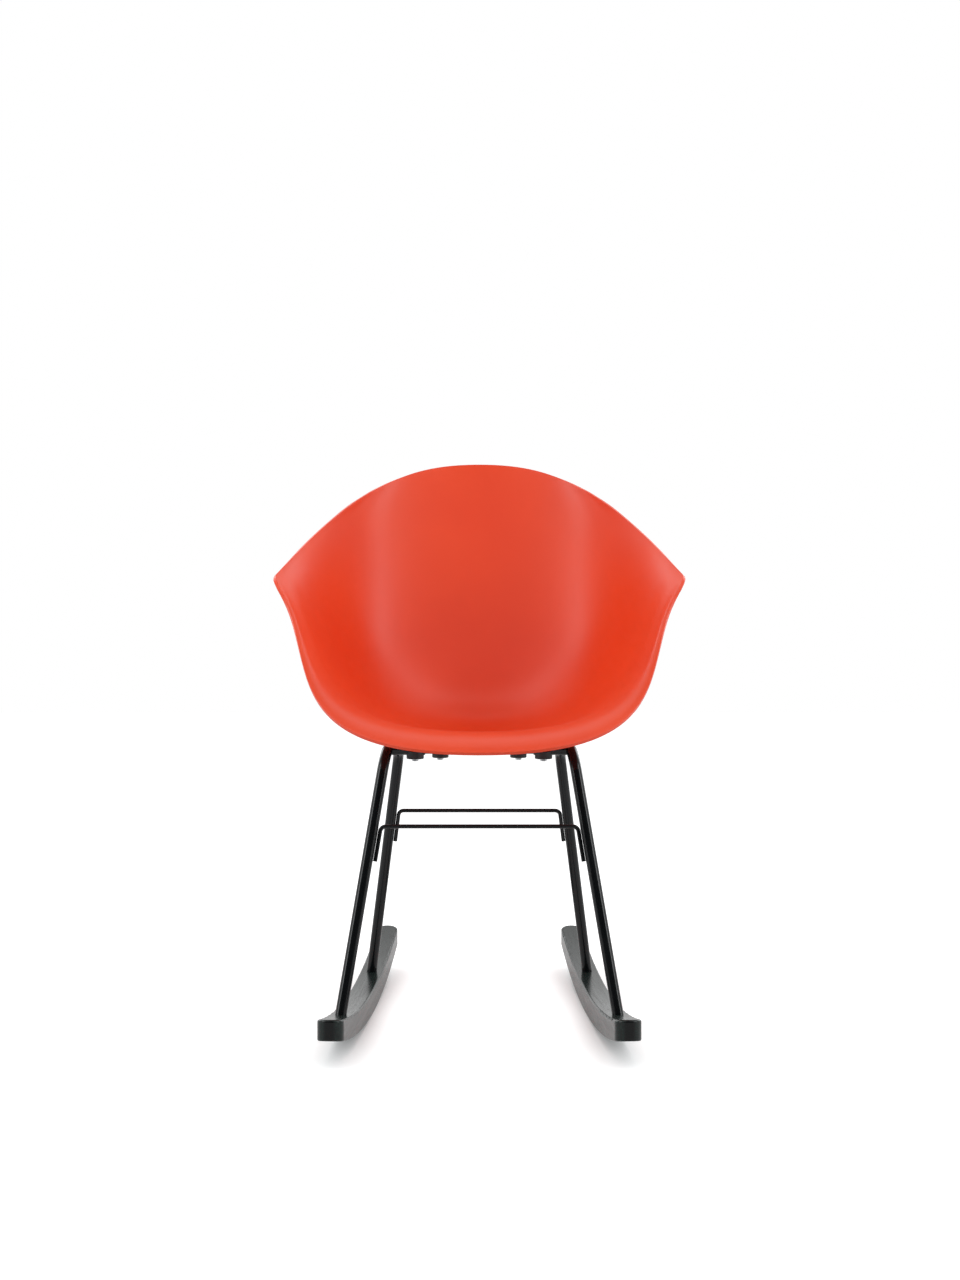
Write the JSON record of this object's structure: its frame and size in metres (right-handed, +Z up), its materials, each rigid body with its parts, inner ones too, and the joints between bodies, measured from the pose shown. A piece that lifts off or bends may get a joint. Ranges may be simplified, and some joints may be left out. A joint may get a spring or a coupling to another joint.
{
  "type": "moulded plastic rocking chair",
  "caption": "Rocking armchair with a one-piece moulded bucket shell on a bent black tube frame with wooden runners.",
  "frame": {"origin": "on the floor, under the middle of the box round the whole chair", "axes": "+Z up, the sitter faces -Y, +X to the right seen from the front"},
  "size_m": [0.6114, 0.7218, 0.8436],
  "materials": {
    "shell_plastic": "fine satin grain, orange red",
    "painted_steel": "black powder coat, satin",
    "stained_wood": "black stain and clear lacquer, grain shows",
    "spacer_rubber": "plain",
    "pad_nylon": "moulded, fine grain",
    "insert_brass": "turned",
    "zinc_steel": "zinc plated"
  },
  "bodies": {
    "root": {"arm_end_cap_left": "pad_nylon", "arm_end_cap_right": "pad_nylon", "front_arm_left": "painted_steel", "front_arm_right": "painted_steel", "leg_bolt_front_left": "zinc_steel", "leg_bolt_front_right": "zinc_steel", "leg_bolt_rear_left": "zinc_steel", "leg_bolt_rear_right": "zinc_steel", "leg_plug_front_left": "zinc_steel", "leg_plug_front_right": "zinc_steel", "leg_plug_rear_left": "zinc_steel", "leg_plug_rear_right": "zinc_steel", "leg_washer_front_left": "zinc_steel", "leg_washer_front_right": "zinc_steel", "leg_washer_rear_left": "zinc_steel", "leg_washer_rear_right": "zinc_steel", "rear_cross_tube": "painted_steel", "rubber_spacer_front_left": "spacer_rubber", "rubber_spacer_front_right": "spacer_rubber", "rubber_spacer_rear_left": "spacer_rubber", "rubber_spacer_rear_right": "spacer_rubber", "runner_left": "stained_wood", "runner_right": "stained_wood", "saddle_pad_front_left": "pad_nylon", "saddle_pad_front_right": "pad_nylon", "saddle_pad_rear_left": "pad_nylon", "saddle_pad_rear_right": "pad_nylon", "seat_bolt_front_left": "zinc_steel", "seat_bolt_front_right": "zinc_steel", "seat_bolt_rear_left": "zinc_steel", "seat_bolt_rear_right": "zinc_steel", "seat_shell": "shell_plastic", "seat_washer_front_left": "zinc_steel", "seat_washer_front_right": "zinc_steel", "seat_washer_rear_left": "zinc_steel", "seat_washer_rear_right": "zinc_steel", "side_frame_left": "painted_steel", "side_frame_right": "painted_steel", "stretcher_front": "painted_steel", "stretcher_rear": "painted_steel", "threaded_insert_front_left": "insert_brass", "threaded_insert_front_right": "insert_brass", "threaded_insert_rear_left": "insert_brass", "threaded_insert_rear_right": "insert_brass"}
  },
  "joints": []
}
